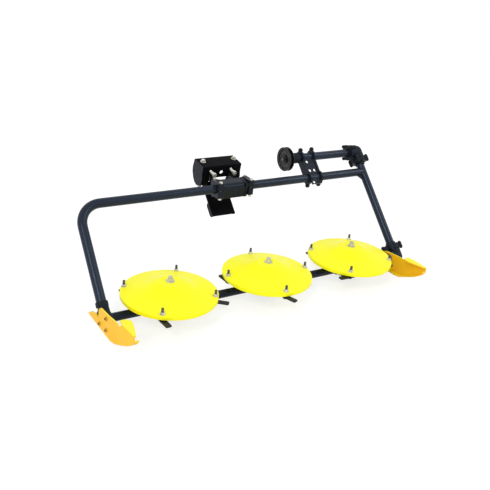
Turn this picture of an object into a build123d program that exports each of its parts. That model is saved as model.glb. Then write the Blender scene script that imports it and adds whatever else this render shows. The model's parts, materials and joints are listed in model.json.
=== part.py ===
from build123d import *
from math import atan2, cos, degrees, hypot, radians, sin, tan
import os

# Front mower for a walk-behind tractor: three discs with swinging knives on one
# cutter bar, carried by a leaning tube frame on two shoes.  Millimetres.
# X runs along the cutter bar, +Y points back to the tractor, +Z is up.
# x = 0 is the middle disc, y = 0 the cutter bar's axis, z = 0 the ground.

os.makedirs("parts", exist_ok=True)

# ---------------------------------------------------------------- driving sizes
disc_spacing = 400.0          # between neighbouring disc axes
disc_radius = 167.0
bar_height = 40.0             # cutter bar axis above the ground
rim_rise = 52.0               # the discs' rim plane above the cutter bar axis
bar_diameter = 30.0           # cutter bar
tube_diameter = 34.0          # every other frame tube
tube_wall = 3.0
top_tube_back = 281.0         # top tube axis behind the cutter bar
top_tube_rise = 286.0         # top tube axis above the cutter bar
shaft_offset = 95.0           # pulley shaft axis beyond the top tube, along the columns
left_column_tilt = radians(1.3)                    # the left column leans in towards the discs
bend_radius = 80.0            # centre line of the bent frame tube
steel_plate = 4.0             # shoes and bracket plates
seat_gap = 0.05               # radial clearance of running and seated fits
disc_rim_margin = 11.0        # rim of the disc to its knife bolts
knife_reach = 48.0            # knife's pivot to its tip
knife_room = 8.0              # between the knives' sweep and the right shoe
left_foot_room = 24.0         # between the knives' sweep and the left column's axis
gear_corner = 50.0            # right shoe's seat to the right column's axis

# derived frame geometry
bar_radius = bar_diameter / 2
tube_radius = tube_diameter / 2
bolt_circle_radius = disc_radius - disc_rim_margin
knife_sweep = bolt_circle_radius + knife_reach
gear_flange_x = disc_spacing + knife_sweep + knife_room + steel_plate   # seat of the right shoe
right_column_x = gear_flange_x + gear_corner
left_column_x = -(disc_spacing + knife_sweep + left_foot_room)          # at the cutter bar
rim_height = bar_height + rim_rise
column_lean = atan2(top_tube_back, top_tube_rise)
column_length = hypot(top_tube_back, top_tube_rise)
shaft_reach = column_length + shaft_offset
shaft_back = shaft_reach * sin(column_lean)
shaft_height = bar_height + shaft_reach * cos(column_lean)
top_tube_height = bar_height + top_tube_rise
column_direction = (0, sin(column_lean), cos(column_lean))
frame_normal = (0, -cos(column_lean), sin(column_lean))


def frame_plane(offset=0.0):
    """Leaning plane of the frame: local x is X, local y runs up the columns."""
    return Plane(origin=(0, 0, bar_height), x_dir=(1, 0, 0), z_dir=frame_normal).offset(offset)


def column_plane(x, reach=0.0):
    """Plane square to the columns, at a distance up from the cutter bar axis."""
    return Plane(origin=(x, 0, bar_height), x_dir=(1, 0, 0), z_dir=column_direction).offset(reach)


def left_column_plane(reach):
    """Plane square to the tilted left column, at a distance up from the cutter bar axis."""
    tilt, lean = left_column_tilt, column_lean
    return Plane(
        origin=(left_column_x + reach * tan(tilt), reach * sin(lean), bar_height + reach * cos(lean)),
        x_dir=(cos(tilt), -sin(tilt) * sin(lean), -sin(tilt) * cos(lean)),
        z_dir=(sin(tilt), cos(tilt) * sin(lean), cos(tilt) * cos(lean)),
    )


def side_plane(x, y=0.0, z=0.0):
    """Plane facing +X: local x is Y, local y is Z."""
    return Plane(origin=(x, y, z), x_dir=(0, 1, 0), z_dir=(1, 0, 0))


def front_plane(x, y=0.0, z=0.0):
    """Plane facing -Y: local x is X, local y is Z."""
    return Plane(origin=(x, y, z), x_dir=(1, 0, 0), z_dir=(0, -1, 0))


def level_plane(x, y, z):
    """Plane facing up."""
    return Plane(origin=(x, y, z), x_dir=(1, 0, 0), z_dir=(0, 0, 1))


pieces = {}


def save(builder, name):
    """Label a finished piece and keep it for the export at the end."""
    builder.part.label = name
    pieces[name] = builder.part


# ---------------------------------------------------------------- cutter bar hubs
hub_radius = 54.0             # wearing dish under the hub
hub_body_radius = 44.0
hub_sole_radius = 39.0        # flat underside of the dish
hub_drop = 80.0               # foot of the dish below the rim plane
hub_bottom = rim_height - hub_drop
hub_dish_height = 16.0
hub_dish_step = 4.0           # from the dish's rim in to the body
hub_shoulder = 24.0           # shoulder above the bar axis
hub_shoulder_drop = 10.0      # slope round the shoulder
hub_shoulder_inset = 12.0
hub_neck_radius = 22.0
hub_neck_top = rim_height - 6.0
hub_half_width = 62.0         # bar sockets, from the hub's axis
hub_socket_radius = 21.0
hub_socket_depth = 18.0
spindle_radius = 10.0
spindle_depth = 44.0          # of the spindle's bore below the neck's top
end_gap = 0.3                 # shaft ends stay this far from the bottom of their bores

discs = (
    # side, axis x, azimuth of the first knife bolt
    ("left", -disc_spacing, 145.0),
    ("middle", 0.0, 171.0),
    ("right", disc_spacing, 141.0),
)

for side, x, _ in discs:
    with BuildPart() as hub:
        with BuildSketch(front_plane(x)):
            with BuildLine():
                shoulder_top = bar_height + hub_shoulder
                Polyline(
                    (0, shoulder_top), (0, hub_bottom), (hub_sole_radius, hub_bottom),
                    (hub_radius, hub_bottom + hub_dish_height / 2),
                    (hub_radius, hub_bottom + hub_dish_height),
                    (hub_body_radius, hub_bottom + hub_dish_height + hub_dish_step),
                    (hub_body_radius, shoulder_top - hub_shoulder_drop),
                    (hub_body_radius - hub_shoulder_inset, shoulder_top),
                    (0, shoulder_top),
                )
            make_face()
        revolve(axis=Axis((x, 0, 0), (0, 0, 1)))
        with BuildSketch(level_plane(x, 0, shoulder_top)):
            Circle(hub_neck_radius)
        extrude(amount=hub_neck_top - shoulder_top)
        with BuildSketch(side_plane(x - hub_half_width, 0, bar_height)):
            Circle(hub_socket_radius)
        extrude(amount=2 * hub_half_width)
        for end in (-hub_half_width, hub_half_width - hub_socket_depth):
            with BuildSketch(side_plane(x + end, 0, bar_height)):
                Circle(bar_radius + seat_gap)
            extrude(amount=hub_socket_depth, mode=Mode.SUBTRACT)
        with BuildSketch(level_plane(x, 0, hub_neck_top - spindle_depth)):
            Circle(spindle_radius + seat_gap)
        extrude(amount=spindle_depth, mode=Mode.SUBTRACT)
    save(hub, f"hub_{side}")

# ---------------------------------------------------------------- left foot
foot_collar_radius = tube_radius + 4.0
foot_collar_start = 42.0      # full collar begins, up the column
foot_collar_reach = 57.0      # its upper end
foot_seat_reach = 36.0        # lower end of the frame tube
foot_bar_depth = 18.0         # of the bar in the block
foot_edge_radius = 4.0
shoe_left_x = left_column_x - 9.0                  # seat of the left shoe
foot_inner_x = left_column_x + 10.0

foot_outline = (
    # y, z of the block under the collar
    (-52.0, 14.0), (50.0, 8.0), (58.0, 24.0), (40.0, 62.0), (22.0, 76.0), (-20.0, 74.0), (-52.0, 70.0),
)

with BuildPart() as left_foot:
    with BuildSketch(side_plane(shoe_left_x, 0, 0)):
        with BuildLine():
            Polyline(*foot_outline, close=True)
        make_face()
    extrude(amount=foot_inner_x - shoe_left_x)
    fillet(left_foot.edges().filter_by(Axis.X), radius=foot_edge_radius)
    with BuildSketch(column_plane(left_column_x)):
        Circle(foot_collar_radius)
        with Locations((shoe_left_x - left_column_x, 0)):
            Rectangle(
                2 * foot_collar_radius, 2 * foot_collar_radius,
                align=(Align.MAX, Align.CENTER), mode=Mode.SUBTRACT,
            )
    extrude(amount=foot_collar_start)
    with BuildSketch(left_column_plane(foot_collar_start)):
        Circle(foot_collar_radius)
    extrude(amount=foot_collar_reach - foot_collar_start)
    with BuildSketch(left_column_plane(foot_seat_reach)):
        Circle(tube_radius + seat_gap)
    extrude(amount=column_length, mode=Mode.SUBTRACT)
    with BuildSketch(side_plane(foot_inner_x - foot_bar_depth, 0, bar_height)):
        Circle(bar_radius + seat_gap)
    extrude(amount=3 * foot_bar_depth, mode=Mode.SUBTRACT)
save(left_foot, "left_foot")

# ---------------------------------------------------------------- gearboxes
# Both gearboxes are one elbow casting: a flange across the bar or the shaft,
# and a flange across the column, each bolted to the flange of the tube's socket.
gear_body_radius = 29.0
gear_flange_radius = 33.0
gear_flange_thickness = 11.0  # of each of the two bolted flanges
gear_ear_circle = 36.5
gear_ear_radius = 7.5
gear_ear_neck = 13.0          # width of the web that carries an ear
gear_column_reach = 42.0      # joint face across the column, from the corner
gear_bar_reach = 36.0         # joint face across the bar or the shaft
gear_socket_wall = 3.5
gear_socket_length = 11.0     # beyond the flange
gear_seat_depth = 16.0        # of the tube, from the end of its socket
gear_bolt_radius = 6.0
gear_bolt_height = 4.0
gear_mount_radius = 34.0      # flange that takes the right shoe
gear_mount_thickness = 3.0
column_ears = 45.0            # azimuth of the first ear
bar_ears = 16.0


def leaning_side_plane(x, reach):
    """Plane facing +X on the frame's lean: local y runs up the columns."""
    back = reach * sin(column_lean)
    up = bar_height + reach * cos(column_lean)
    across = (0, cos(column_lean), -sin(column_lean))
    return Plane(origin=(x, back, up), x_dir=across, z_dir=(1, 0, 0))


def gear_flange(plane, first_ear):
    """Face of a round flange with four bolt ears, on the given plane."""
    with BuildSketch(plane) as flange:
        Circle(gear_flange_radius)
        with PolarLocations(gear_ear_circle, 4, start_angle=first_ear):
            Circle(gear_ear_radius)
        with PolarLocations(gear_flange_radius - 4, 4, start_angle=first_ear):
            Rectangle(2 * (gear_ear_circle - gear_flange_radius + 4), gear_ear_neck)
    return flange.sketch


def gear_bolt_heads(plane, first_ear, skipped=None):
    """Faces of the hexagon heads on a gear flange, but for the skipped ear."""
    with BuildSketch(plane) as heads:
        for index in range(4):
            if index != skipped:
                azimuth = radians(first_ear + 90 * index)
                with Locations((gear_ear_circle * cos(azimuth), gear_ear_circle * sin(azimuth))):
                    RegularPolygon(gear_bolt_radius, 6)
    return heads.sketch


def circle_on(plane, radius):
    """Face of a round section on the given plane."""
    with BuildSketch(plane) as section:
        Circle(radius)
    return section.sketch


gearboxes = (
    # name, reach of the corner up the column, direction of the column's joint from it
    ("lower", 0.0, 1),
    ("upper", shaft_reach, -1),
)

for name, corner, up in gearboxes:
    column_joint = corner + up * gear_column_reach
    column_end = column_joint + up * (gear_flange_thickness + gear_socket_length)
    bar_joint = right_column_x - gear_bar_reach
    bar_flange = bar_joint - gear_flange_thickness
    bar_end = gear_flange_x if name == "lower" else bar_flange - gear_socket_length
    bar_tube = bar_radius if name == "lower" else tube_radius
    first_ear = up * bar_ears

    with BuildPart() as gearbox:
        with Locations(leaning_side_plane(right_column_x, corner).origin):
            Sphere(gear_body_radius)
        extrude(circle_on(leaning_side_plane(bar_joint, corner), gear_body_radius), amount=gear_bar_reach)
        extrude(gear_flange(leaning_side_plane(bar_flange, corner), first_ear), amount=2 * gear_flange_thickness)
        if bar_flange > bar_end:
            extrude(
                circle_on(leaning_side_plane(bar_end, corner), bar_tube + gear_socket_wall),
                amount=bar_flange - bar_end,
            )
        if name == "lower":
            extrude(circle_on(side_plane(bar_end, 0, bar_height), gear_mount_radius), amount=gear_mount_thickness)
        extrude(circle_on(column_plane(right_column_x, corner), gear_body_radius), amount=up * gear_column_reach)
        extrude(
            gear_flange(column_plane(right_column_x, column_joint - gear_flange_thickness), column_ears),
            amount=2 * gear_flange_thickness,
        )
        extrude(
            circle_on(column_plane(right_column_x, column_joint), tube_radius + gear_socket_wall),
            amount=column_end - column_joint,
        )
        extrude(
            circle_on(column_plane(right_column_x, column_end - up * gear_seat_depth), tube_radius + seat_gap),
            amount=up * 2 * gear_seat_depth, mode=Mode.SUBTRACT,
        )
        extrude(
            circle_on(leaning_side_plane(bar_end, corner), bar_tube + seat_gap),
            amount=gear_seat_depth, mode=Mode.SUBTRACT,
        )
    save(gearbox, f"{name}_gearbox")

    column_side_ear = 1 if up > 0 else 3           # its nut has no room beside the column's arm
    with BuildPart() as gearbox_bolts:
        extrude(
            gear_bolt_heads(leaning_side_plane(bar_joint + gear_flange_thickness, corner), first_ear, column_side_ear),
            amount=gear_bolt_height,
        )
        if name == "upper":                        # the lower gearbox has the shoe's plate here
            extrude(
                gear_bolt_heads(leaning_side_plane(bar_flange, corner), first_ear),
                amount=-gear_bolt_height,
            )
        for side, sign in ((-gear_flange_thickness, -1), (gear_flange_thickness, 1)):
            extrude(
                gear_bolt_heads(column_plane(right_column_x, column_joint + side), column_ears),
                amount=sign * gear_bolt_height,
            )
    save(gearbox_bolts, f"{name}_gearbox_bolts")

column_seat = gear_column_reach + gear_flange_thickness + gear_socket_length - gear_seat_depth
shaft_seat_x = right_column_x - gear_bar_reach - gear_flange_thickness - gear_socket_length + gear_seat_depth

# ---------------------------------------------------------------- cutter bar
bar_left = foot_inner_x - foot_bar_depth
bar_right = gear_flange_x + gear_seat_depth
hub_seat = hub_half_width - hub_socket_depth
bar_starts = [bar_left] + [x + hub_seat for _, x, _ in discs]
bar_ends = [x - hub_seat for _, x, _ in discs] + [bar_right]

with BuildPart() as cutter_bar:
    for start, end in zip(bar_starts, bar_ends):
        with BuildSketch(side_plane(start, 0, bar_height)):
            Circle(bar_radius)
            Circle(bar_radius - tube_wall, mode=Mode.SUBTRACT)
        extrude(amount=end - start)
save(cutter_bar, "cutter_bar")

# ---------------------------------------------------------------- right column
with BuildPart() as right_column:
    with BuildSketch(column_plane(right_column_x, column_seat)):
        Circle(tube_radius)
        Circle(tube_radius - tube_wall, mode=Mode.SUBTRACT)
    extrude(amount=shaft_reach - 2 * column_seat)
save(right_column, "right_column")

# ---------------------------------------------------------------- bent frame tube
with BuildPart() as frame_tube:
    with BuildLine(frame_plane()) as frame_route:
        FilletPolyline(
            (left_column_x + foot_seat_reach * tan(left_column_tilt), foot_seat_reach),
            (left_column_x + column_length * tan(left_column_tilt), column_length),
            (right_column_x, column_length),
            radius=bend_radius,
        )
    with BuildSketch(left_column_plane(foot_seat_reach)):
        Circle(tube_radius)
        Circle(tube_radius - tube_wall, mode=Mode.SUBTRACT)
    sweep(path=frame_route.line)
    with BuildSketch(column_plane(right_column_x, 0)):
        Circle(tube_radius)
    extrude(amount=shaft_reach, mode=Mode.SUBTRACT)
save(frame_tube, "frame_tube")

gusset_leg = 38.0             # beyond the tubes' axes
gusset_thickness = 6.0

with BuildPart() as column_gusset:
    with BuildSketch(frame_plane(-gusset_thickness / 2)):
        with BuildLine():
            reach = tube_radius + gusset_leg
            Polyline(
                (right_column_x, column_length), (right_column_x - reach, column_length),
                (right_column_x, column_length - reach), close=True,
            )
        make_face()
    extrude(amount=gusset_thickness)
    with BuildSketch(column_plane(right_column_x, column_length - 2 * reach)):
        Circle(tube_radius)
    extrude(amount=3 * reach, mode=Mode.SUBTRACT)
    with BuildSketch(leaning_side_plane(right_column_x - 2 * reach, column_length)):
        Circle(tube_radius)
    extrude(amount=3 * reach, mode=Mode.SUBTRACT)
save(column_gusset, "column_gusset")

# ---------------------------------------------------------------- pulley shaft tube
pulley_x = 278.0              # pulley's outer face
pulley_width = 18.0
pulley_radius = 49.0
pulley_lip = 2.0              # land beside the groove
pulley_rim_depth = 9.0        # full width of the rim
pulley_rim_slope = 3.0
pulley_dish = 5.0             # web set in from each face
pulley_hub_radius = 17.0
groove_depth = 11.0
groove_floor = 5.0
pulley_bore_gap = 6.0         # between the pulley and its bearing housing
boss_gap = 1.0                # between the pulley's boss and the housing
housing_x = pulley_x + pulley_width + pulley_bore_gap
housing_length = 44.0
housing_radius = 22.0
housing_flange_radius = 29.0
housing_flange = 10.0
pulley_shaft_radius = 10.0
shaft_tube_start = housing_x + housing_length - 14.0
shaft_tube_end = shaft_seat_x

with BuildPart() as shaft_tube:
    with BuildSketch(leaning_side_plane(shaft_tube_start, shaft_reach)):
        Circle(tube_radius)
        Circle(tube_radius - tube_wall, mode=Mode.SUBTRACT)
    extrude(amount=shaft_tube_end - shaft_tube_start)
save(shaft_tube, "shaft_tube")

with BuildPart() as bearing_housing:
    with BuildSketch(leaning_side_plane(housing_x, shaft_reach)):
        Circle(housing_flange_radius)
    extrude(amount=housing_flange)
    with BuildSketch(leaning_side_plane(housing_x + housing_flange, shaft_reach)):
        Circle(housing_radius)
    extrude(amount=housing_length - housing_flange)
    with BuildSketch(leaning_side_plane(housing_x, shaft_reach)):
        Circle(pulley_shaft_radius + seat_gap)
    extrude(amount=housing_length, mode=Mode.SUBTRACT)
    with BuildSketch(leaning_side_plane(shaft_tube_start, shaft_reach)):
        Circle(tube_radius + seat_gap)
    extrude(amount=housing_length, mode=Mode.SUBTRACT)
save(bearing_housing, "bearing_housing")

with BuildPart() as pulley:
    with BuildSketch(Plane(origin=(pulley_x, shaft_back, shaft_height), x_dir=(1, 0, 0), z_dir=(0, -1, 0))):
        with BuildLine():
            groove_mid = pulley_width / 2
            rim_foot = pulley_radius - pulley_rim_depth
            boss_end = pulley_width + pulley_bore_gap - boss_gap
            shaft_foot = shaft_tube_start - pulley_x - end_gap
            Polyline(
                (0, 0), (0, pulley_hub_radius), (pulley_dish, pulley_hub_radius),
                (pulley_dish, rim_foot - pulley_rim_slope), (0, rim_foot), (0, pulley_radius),
                (pulley_lip, pulley_radius), (groove_mid - groove_floor / 2, pulley_radius - groove_depth),
                (groove_mid + groove_floor / 2, pulley_radius - groove_depth),
                (pulley_width - pulley_lip, pulley_radius), (pulley_width, pulley_radius),
                (pulley_width, rim_foot), (pulley_width - pulley_dish, rim_foot - pulley_rim_slope),
                (pulley_width - pulley_dish, pulley_hub_radius), (boss_end, pulley_hub_radius),
                (boss_end, pulley_shaft_radius), (shaft_foot, pulley_shaft_radius), (shaft_foot, 0),
                close=True,
            )
        make_face()
    revolve(axis=Axis((pulley_x, shaft_back, shaft_height), (1, 0, 0)))
save(pulley, "pulley")

pulley_washer_radius = 11.0
pulley_washer = 2.0
pulley_bolt_radius = 7.0
pulley_bolt_head = 5.0

with BuildPart() as pulley_bolt:
    with BuildSketch(side_plane(pulley_x - pulley_washer, shaft_back, shaft_height)):
        Circle(pulley_washer_radius)
    extrude(amount=pulley_washer)
    with BuildSketch(side_plane(pulley_x - pulley_washer - pulley_bolt_head, shaft_back, shaft_height)):
        RegularPolygon(pulley_bolt_radius, 6)
    extrude(amount=pulley_bolt_head)
save(pulley_bolt, "pulley_bolt")

# ---------------------------------------------------------------- shaft support
support_plates = (
    # side, x, back and front edge of the strap behind the tubes' plane
    ("left", 358.5, 20.0, -14.0),
    ("right", 416.0, 2.0, -17.0),
)
support_thickness = 8.0
support_ring_radius = tube_radius + 10.0
support_ear_width = 18.0
support_ear_tip = 39.5        # from the tube's axis
support_ear_shift = 5.0       # of the upper ear back, of the lower one forwards
support_bolt_radius = 6.5
support_bolt_head = 4.0
support_ends = (
    # tube's y, its z, direction of its clamping ear
    (top_tube_back, top_tube_height, -1),
    (shaft_back, shaft_height, 1),
)

for side, x, back, front in support_plates:
    with BuildPart() as support_plate:
        with BuildSketch(leaning_side_plane(x, column_length)):
            with BuildLine():
                Polyline((back, 0), (back, shaft_offset), (front, shaft_offset), (front, 0), close=True)
            make_face()
        extrude(amount=support_thickness)
        for y, z, sign in support_ends:
            with BuildSketch(side_plane(x, y, z)):
                Circle(support_ring_radius)
                ear_middle = sign * (support_ear_tip - support_ear_width / 2)
                with Locations((sign * support_ear_shift, ear_middle / 2)):
                    Rectangle(support_ear_width, abs(ear_middle))
                with Locations((sign * support_ear_shift, ear_middle)):
                    Circle(support_ear_width / 2)
            extrude(amount=support_thickness)
        for y, z, _ in support_ends:
            with BuildSketch(side_plane(x, y, z)):
                Circle(tube_radius + seat_gap)
            extrude(amount=support_thickness, mode=Mode.SUBTRACT)
    save(support_plate, f"support_plate_{side}")

support_web_front = 8.0       # web ahead of the tubes' plane
support_web_start = -34.0     # along the columns, from the top tube's axis
support_web_holes = (379.0, 402.0)
support_web_rows = (-24.0, 28.0, 68.5)
support_hole_radius = 6.5

with BuildPart() as support_web:
    with BuildSketch(frame_plane(support_web_front)):
        with BuildLine():
            web_left = support_plates[0][1] + support_thickness
            web_right = support_plates[1][1]
            web_foot = column_length + support_web_start
            Polyline(
                (web_left, web_foot), (web_right, web_foot), (web_right, shaft_reach), (web_left, shaft_reach),
                close=True,
            )
        make_face()
        with Locations(*[(x, column_length + row) for x in support_web_holes for row in support_web_rows]):
            Circle(support_hole_radius, mode=Mode.SUBTRACT)
    extrude(amount=steel_plate)
    with BuildSketch(leaning_side_plane(web_left, shaft_reach)):
        Rectangle(4 * tube_radius, 2 * tube_radius, align=(Align.CENTER, Align.MIN))
    extrude(amount=web_right - web_left, mode=Mode.SUBTRACT)
    for y, z, _ in support_ends:
        with BuildSketch(side_plane(web_left, y, z)):
            Circle(tube_radius + seat_gap)
        extrude(amount=web_right - web_left, mode=Mode.SUBTRACT)
save(support_web, "support_web")

with BuildPart() as support_bolts:
    for _, x, _, _ in support_plates:
        for y, z, sign in support_ends:
            bolt_y = y + sign * support_ear_shift
            bolt_z = z + sign * (support_ear_tip - support_ear_width / 2)
            for head_x in (x - support_bolt_head, x + support_thickness):
                with BuildSketch(side_plane(head_x, bolt_y, bolt_z)):
                    RegularPolygon(support_bolt_radius, 6)
                extrude(amount=support_bolt_head)
save(support_bolts, "support_bolts")

# ---------------------------------------------------------------- discs
disc_sheet = 3.0
lip_depth = 12.5
plateau_radius = 41.0
plateau_rise = 41.0
cone_radius = 95.0            # where the steep cone meets the shallow one
cone_rise = 16.0
edge_radius = 3.0
cone_inset = 0.3              # inner faces of the cones, in sheet thicknesses
plateau_inset = 0.4
bolt_seat_rise = 3.0          # top of the pressed seats above the rim plane
bolt_seat_radius = 9.8
bolt_pad_radius = 10.4
spindle_stud_radius = 8.0
spindle_flange_radius = 28.0
spindle_flange = 5.0
spindle_stud = 18.0           # above the disc
spindle_washer_radius = 15.0
spindle_washer = 2.5
spindle_nut_radius = 10.5
spindle_nut = 9.0
knife_drop = 18.0             # knife's middle plane below the rim plane
knife_thickness = 4.0
knife_width = 21.0
knife_tail = 19.0             # pivot to tail end
knife_corner = 5.0
knife_gap = 0.4               # above and below the knife
bush_radius = 7.0
stud_radius = 4.5
spacer_radius = 7.4
bolt_head_radius = 8.5
bolt_head_height = 5.0
washer_radius = 9.5
washer_thickness = 1.6
nut_radius = 7.5
nut_height = 7.0
stud_tip = 14.0               # stud above its nut

knife_headings = {
    # direction in which each knife points, in the order of its disc's bolts
    "left": (280.0, 235.0, -40.0, -88.0),
    "middle": (93.0, 261.0, 100.0, -72.0),
    "right": (276.0, 231.0, 95.0, 178.0),
}


def bolt_places(x, first_azimuth):
    """Knife pivots of one disc, clockwise from the first."""
    places = []
    for index in range(4):
        azimuth = radians(first_azimuth - 90 * index)
        places.append((x + bolt_circle_radius * cos(azimuth), bolt_circle_radius * sin(azimuth)))
    return places


seat_over = rim_height + bolt_seat_rise
seat_under = seat_over - disc_sheet

for side, x, first_azimuth in discs:
    places = bolt_places(x, first_azimuth)

    with BuildPart() as disc:
        with BuildSketch(front_plane(x, 0, rim_height)):
            with BuildLine():
                Polyline(
                    (disc_radius, -lip_depth), (disc_radius, 0),
                    (cone_radius, cone_rise), (plateau_radius, plateau_rise),
                    (spindle_stud_radius + seat_gap, plateau_rise),
                    (spindle_stud_radius + seat_gap, plateau_rise - disc_sheet),
                    (plateau_radius - plateau_inset * disc_sheet, plateau_rise - disc_sheet),
                    (cone_radius - cone_inset * disc_sheet, cone_rise - disc_sheet),
                    (disc_radius - disc_sheet, -disc_sheet), (disc_radius - disc_sheet, -lip_depth), close=True,
                )
            make_face()
        revolve(axis=Axis((x, 0, 0), (0, 0, 1)))
        fillet(disc.edges().filter_by(GeomType.CIRCLE).filter_by(
            lambda edge: abs(edge.radius - disc_radius) < 0.1 and edge.center().Z > rim_height - 1), edge_radius)
        seat_cuts = (
            # radius, from height, to height, mode
            (bolt_pad_radius, seat_under, seat_over, Mode.ADD),
            (bolt_seat_radius, seat_over, seat_over + 3 * disc_sheet, Mode.SUBTRACT),
            (spacer_radius + end_gap, seat_under - 2 * disc_sheet, seat_under, Mode.SUBTRACT),
            (stud_radius + seat_gap, seat_under - disc_sheet, seat_over + disc_sheet, Mode.SUBTRACT),
        )
        for radius, low, high, mode in seat_cuts:
            with BuildSketch(level_plane(x, 0, low)):
                with PolarLocations(bolt_circle_radius, 4, start_angle=first_azimuth):
                    Circle(radius)
            extrude(amount=high - low, mode=mode)
    save(disc, f"disc_{side}")

    with BuildPart() as spindle:
        foot = hub_neck_top - spindle_depth + end_gap
        seat = rim_height + plateau_rise - disc_sheet
        with BuildSketch(level_plane(x, 0, foot)):
            Circle(spindle_radius)
        extrude(amount=seat - foot)
        with BuildSketch(level_plane(x, 0, seat - spindle_flange)):
            Circle(spindle_flange_radius)
        extrude(amount=spindle_flange)
        with BuildSketch(level_plane(x, 0, seat)):
            Circle(spindle_stud_radius)
        extrude(amount=disc_sheet + spindle_stud)
        with BuildSketch(level_plane(x, 0, seat + disc_sheet)):
            Circle(spindle_washer_radius)
        extrude(amount=spindle_washer)
        with BuildSketch(level_plane(x, 0, seat + disc_sheet + spindle_washer)):
            RegularPolygon(spindle_nut_radius, 6)
        extrude(amount=spindle_nut)
    save(spindle, f"spindle_{side}")

    knife_top = rim_height - knife_drop + knife_thickness / 2
    knife_bottom = knife_top - knife_thickness
    bolt_foot = knife_bottom - knife_gap - bolt_head_height

    with BuildPart() as knife_bolts:
        for px, py in places:
            # radius, from height, to height
            steps = (
                (bolt_head_radius, bolt_foot, knife_bottom - knife_gap),
                (bush_radius, knife_bottom - knife_gap, knife_top + knife_gap),
                (spacer_radius, knife_top + knife_gap, seat_under),
                (stud_radius, seat_under, seat_over),
                (washer_radius, seat_over, seat_over + washer_thickness),
                (stud_radius, seat_over, seat_over + washer_thickness + nut_height + stud_tip),
            )
            for radius, low, high in steps:
                with BuildSketch(level_plane(px, py, low)):
                    Circle(radius)
                extrude(amount=high - low)
            with BuildSketch(level_plane(px, py, seat_over + washer_thickness)):
                RegularPolygon(nut_radius, 6)
            extrude(amount=nut_height)
    save(knife_bolts, f"knife_bolts_{side}")

    for number, ((px, py), heading) in enumerate(zip(places, knife_headings[side]), start=1):
        along = (cos(radians(heading)), sin(radians(heading)), 0)
        with BuildPart() as knife:
            with BuildSketch(Plane(origin=(px, py, knife_bottom), x_dir=along, z_dir=(0, 0, 1))):
                with Locations(((knife_reach - knife_tail) / 2, 0)):
                    RectangleRounded(knife_reach + knife_tail, knife_width, knife_corner)
                Circle(bush_radius + seat_gap, mode=Mode.SUBTRACT)
            extrude(amount=knife_thickness)
        save(knife, f"knife_{side}_{number}")

# ---------------------------------------------------------------- shoes
shoe_right_x = gear_flange_x                       # seat of the right shoe
shoe_sole = 14.0              # width of the runner under the plate
shoe_top = 102.0              # top of the nose
shoe_bend_y = -60.0           # the nose turns in towards the discs from here
shoe_turn_in = 12.0           # of the nose's tip
shoe_bar_hole = bar_radius + 2.0
shoe_head_radius = 7.0
shoe_head_height = 5.0
clamp_flange_radius = bar_height - steel_plate - 2.0    # inner flange of the right shoe, over its runner
clamp_flange_top = rim_height - knife_drop - knife_thickness / 2 - 7.0   # cut flat under the knives
clamp_flange_thickness = 5.0
clamp_bolt_circle = (bar_radius + seat_gap + clamp_flange_radius) / 2

shoe_sole_line = (
    # y, z from the back corner along the runner to the nose
    (118.0, 0.0), (-70.0, 0.0), (-100.0, 6.0), (-140.0, 24.0), (-180.0, 44.0), (-210.0, 64.0), (-223.0, 82.0),
)
shoe_nose_line = (
    # y, z from the nose back to its notch
    (-221.0, shoe_top), (-142.0, shoe_top), (-136.0, 88.0), (-126.0, 84.0),
)
shoe_top_lines = {
    # y, z from the notch over the plate to the back corner
    "left": ((-112.0, 90.0), (8.0, 79.0), (26.0, 67.0), (30.0, 28.0), (56.0, 36.0), (118.0, 5.0)),
    "right": ((-112.0, 82.0), (-46.0, 77.0), (8.0, 72.0), (26.0, 62.0), (30.0, 28.0), (56.0, 36.0), (118.0, 5.0)),
}
shoe_flange_line = (
    # y, distance in from the plate, of the nose's top flange
    (-124.0, 0.0), (-120.0, 12.0), (-124.0, 26.0), (-136.0, 32.0), (-152.0, 30.0), (-190.0, 17.0), (-221.0, 4.0),
    (-221.0, 0.0),
)

shoes = (
    # side, x of the plate's inner face, direction towards the discs, bolt places y, z
    ("left", shoe_left_x, 1, ((-40.0, 66.0), (16.0, 17.0), (-41.0, 24.0))),
    ("right", shoe_right_x - steel_plate, -1, (
        (-clamp_bolt_circle, bar_height), (0.0, bar_height - clamp_bolt_circle), (clamp_bolt_circle, bar_height),
    )),
)


def turned_in(y):
    """How far the shoe's nose leans in at this y."""
    nose_y = shoe_sole_line[-1][0]
    return max(0.0, shoe_turn_in * (y - shoe_bend_y) / (nose_y - shoe_bend_y))


def shoe_band(inner_face, inward, near, far):
    """Plan of a strip that follows the plate, from near to far in from its inner face."""
    back, nose = 2 * shoe_sole_line[0][0], 2 * shoe_sole_line[-1][0]
    ends = (back, shoe_bend_y, nose)
    with BuildSketch(level_plane(inner_face, 0, 0)) as band:
        with BuildLine():
            Polyline(
                *[(inward * (turned_in(y) + near), y) for y in ends],
                *[(inward * (turned_in(y) + far), y) for y in reversed(ends)],
                close=True,
            )
        make_face()
    return band.sketch


def shoe_slab(inner_face, outline):
    """Side outline given as y, z, through the full width of the shoe."""
    with BuildPart() as slab:
        with BuildSketch(side_plane(inner_face)):
            with BuildLine():
                Polyline(*outline, close=True)
            make_face()
        extrude(amount=4 * shoe_sole, both=True)
    return slab.part


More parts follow.
